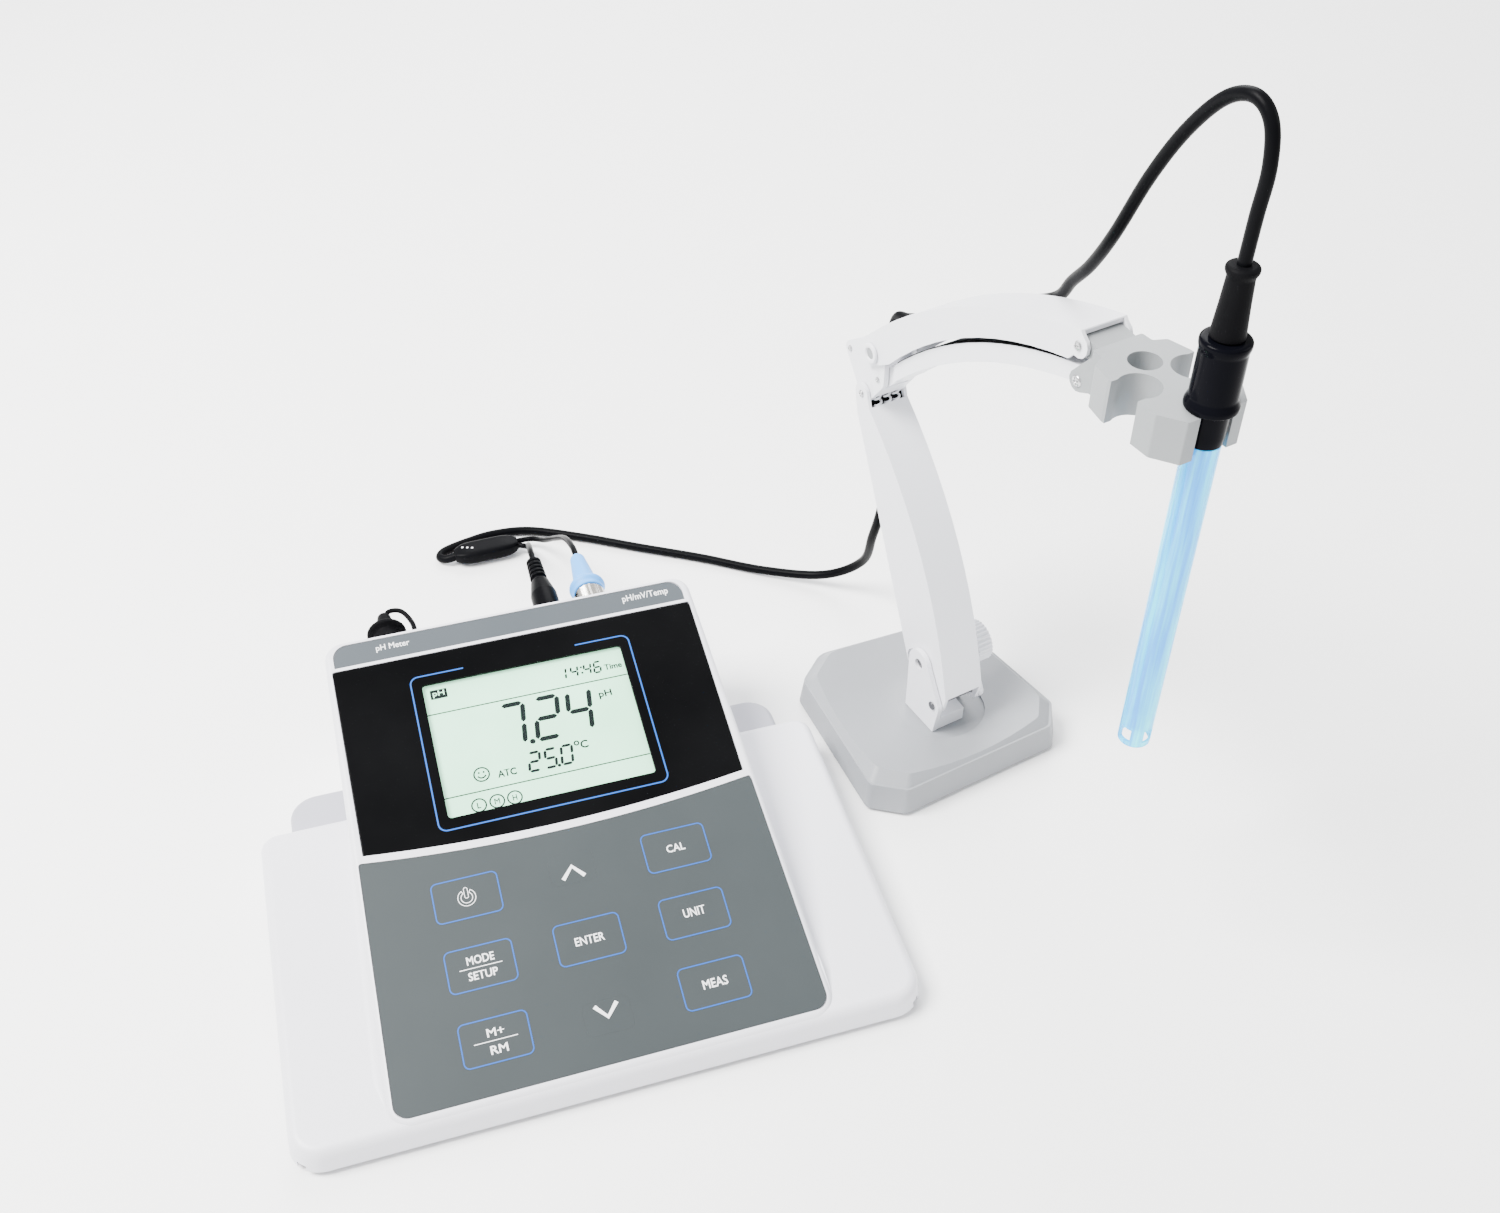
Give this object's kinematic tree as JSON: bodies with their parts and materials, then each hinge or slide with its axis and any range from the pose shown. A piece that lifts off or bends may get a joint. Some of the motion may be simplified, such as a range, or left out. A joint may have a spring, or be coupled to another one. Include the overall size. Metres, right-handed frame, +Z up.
{
  "type": "benchtop pH meter",
  "caption": "Benchtop pH meter with a sloped keypad and display, cabled to a glass electrode held over the bench by a jointed arm on a weighted stand.",
  "frame": {"origin": "the middle of the whole group's footprint, on the bench", "axes": "+X to the meter's right, +Y to its back, +Z up"},
  "size_m": [0.3538, 0.3442, 0.3396],
  "materials": {
    "white_case": "satin",
    "grey_case": "matte",
    "black_gloss": "gloss",
    "grey_film": "satin",
    "strip_grey": "satin",
    "lcd_green": "gloss",
    "light_guide": "satin",
    "board_green": "satin",
    "rubber": "matte",
    "steel": "brushed",
    "nickel": "polished",
    "pale_blue": "satin",
    "cable_black": "satin",
    "bar_white": "satin",
    "holder_grey": "satin",
    "base_grey": "satin",
    "cap_black": "gloss",
    "clear_blue": "clear gloss",
    "glass": "clear"
  },
  "bodies": {
    "base_group": {"upper_case": "white_case", "bottom_plate": "grey_case", "header_strip": "strip_grey", "display_window": "black_gloss", "keypad_overlay": "grey_film", "lcd_glass": "lcd_green", "backlight": "light_guide", "main_board": "board_green", "bnc_socket": "nickel", "temperature_socket": "nickel", "covered_socket": "nickel", "bnc_boot": "pale_blue", "temperature_plug": "cable_black", "bnc_lead": "cable_black", "temperature_lead": "cable_black", "cable_splitter": "cable_black", "cable_bench": "cable_black", "stand_base": "base_grey", "base_pad": "rubber", "swivel_bolt": "steel", "rubber_foot_1": "rubber", "rubber_foot_2": "rubber", "rubber_foot_3": "rubber", "rubber_foot_4": "rubber", "case_screw_1": "steel", "case_screw_2": "steel", "case_screw_3": "steel", "case_screw_4": "steel"},
    "key_power": {"key_power": "grey_film"},
    "key_mode": {"key_mode": "grey_film"},
    "key_memory": {"key_memory": "grey_film"},
    "key_up": {"key_up": "grey_film"},
    "key_enter": {"key_enter": "grey_film"},
    "key_down": {"key_down": "grey_film"},
    "key_cal": {"key_cal": "grey_film"},
    "key_unit": {"key_unit": "grey_film"},
    "key_meas": {"key_meas": "grey_film"},
    "dust_cap": {"dust_cap": "rubber"},
    "bnc_collar": {"bnc_collar": "nickel"},
    "pedestal": {"pedestal": "bar_white", "front_pin": "steel", "tension_bolt": "steel", "cable_rise": "cable_black"},
    "tension_knob": {"tension_knob": "bar_white"},
    "lower_front": {"lower_front_bar": "bar_white"},
    "rear_link": {"lower_rear_link": "bar_white"},
    "elbow": {"elbow_block": "bar_white", "upper_bolt": "bar_white"},
    "upper_bar": {"upper_top_bar": "bar_white", "holder_pin": "steel", "cable_arm": "cable_black"},
    "under_bar": {"upper_under_bar": "bar_white"},
    "holder": {"electrode_holder": "holder_grey", "cable_loop": "cable_black"},
    "electrode": {"electrode_boot": "rubber", "electrode_cap": "cap_black", "electrode_tube": "clear_blue", "reference_tube": "clear_blue", "glass_bulb": "glass"}
  },
  "joints": [
    {"name": "key_power_press", "type": "slide", "parent": "base_group", "child": "key_power", "axis": [0, 0.2706, -0.9627], "range_m": [0, 0.0004]},
    {"name": "key_mode_press", "type": "slide", "parent": "base_group", "child": "key_mode", "axis": [0, 0.2706, -0.9627], "range_m": [0, 0.0004]},
    {"name": "key_memory_press", "type": "slide", "parent": "base_group", "child": "key_memory", "axis": [0, 0.2706, -0.9627], "range_m": [0, 0.0004]},
    {"name": "key_up_press", "type": "slide", "parent": "base_group", "child": "key_up", "axis": [0, 0.2706, -0.9627], "range_m": [0, 0.0004]},
    {"name": "key_enter_press", "type": "slide", "parent": "base_group", "child": "key_enter", "axis": [0, 0.2706, -0.9627], "range_m": [0, 0.0004]},
    {"name": "key_down_press", "type": "slide", "parent": "base_group", "child": "key_down", "axis": [0, 0.2706, -0.9627], "range_m": [0, 0.0004]},
    {"name": "key_cal_press", "type": "slide", "parent": "base_group", "child": "key_cal", "axis": [0, 0.2706, -0.9627], "range_m": [0, 0.0004]},
    {"name": "key_unit_press", "type": "slide", "parent": "base_group", "child": "key_unit", "axis": [0, 0.2706, -0.9627], "range_m": [0, 0.0004]},
    {"name": "key_meas_press", "type": "slide", "parent": "base_group", "child": "key_meas", "axis": [0, 0.2706, -0.9627], "range_m": [0, 0.0004]},
    {"name": "dust_cap_pull", "type": "slide", "parent": "base_group", "child": "dust_cap", "axis": [0, 1, 0], "range_m": [0, 0.012]},
    {"name": "bnc_collar_turn", "type": "hinge", "parent": "base_group", "child": "bnc_collar", "pos_m": [-0.01794, 0.04043, 0.0545], "axis": [0, 1, 0], "range_deg": [0, 90]},
    {"name": "stand_swivel", "type": "hinge", "parent": "base_group", "child": "pedestal", "pos_m": [0.12656, -0.03007, 0.012], "axis": [0, 0, 1], "range_deg": [-30, 60], "deforming": ["cable_rise"]},
    {"name": "tension_knob_turn", "type": "hinge", "parent": "pedestal", "child": "tension_knob", "pos_m": [0.12577, -0.02666, 0.0425], "axis": [0.9744, 0.225, 0], "range_deg": [-180, 180]},
    {"name": "lower_arm", "type": "hinge", "parent": "pedestal", "child": "lower_front", "pos_m": [0.12858, -0.03884, 0.0275], "axis": [0.9744, 0.225, 0], "range_deg": [-4, 25]},
    {"name": "rear_link_turn", "type": "hinge", "parent": "pedestal", "child": "rear_link", "pos_m": [0.12577, -0.02666, 0.0425], "axis": [0.9744, 0.225, 0], "range_deg": [-4, 25]},
    {"name": "elbow_turn", "type": "hinge", "parent": "lower_front", "child": "elbow", "pos_m": [0.1125, 0.03083, 0.1505], "axis": [0.9744, 0.225, 0], "range_deg": [-25, 4]},
    {"name": "upper_arm", "type": "hinge", "parent": "elbow", "child": "upper_bar", "pos_m": [0.11385, 0.02498, 0.1736], "axis": [0.9744, 0.225, 0], "range_deg": [-15, 30], "deforming": ["cable_arm"]},
    {"name": "under_bar_turn", "type": "hinge", "parent": "elbow", "child": "under_bar", "pos_m": [0.11446, 0.02235, 0.1616], "axis": [0.9744, 0.225, 0], "range_deg": [-15, 30]},
    {"name": "holder_turn", "type": "hinge", "parent": "upper_bar", "child": "holder", "pos_m": [0.14037, -0.0899, 0.2395], "axis": [0.9744, 0.225, 0], "range_deg": [-30, 15]},
    {"name": "electrode_lift", "type": "slide", "parent": "holder", "child": "electrode", "axis": [0, 0, 1], "range_m": [0, 0.06], "deforming": ["cable_loop"]}
  ],
  "couplings": [
    {"joint": "rear_link_turn", "follows": "lower_arm", "ratio": 1},
    {"joint": "elbow_turn", "follows": "lower_arm", "ratio": -1},
    {"joint": "under_bar_turn", "follows": "upper_arm", "ratio": 1},
    {"joint": "holder_turn", "follows": "upper_arm", "ratio": -1}
  ]
}
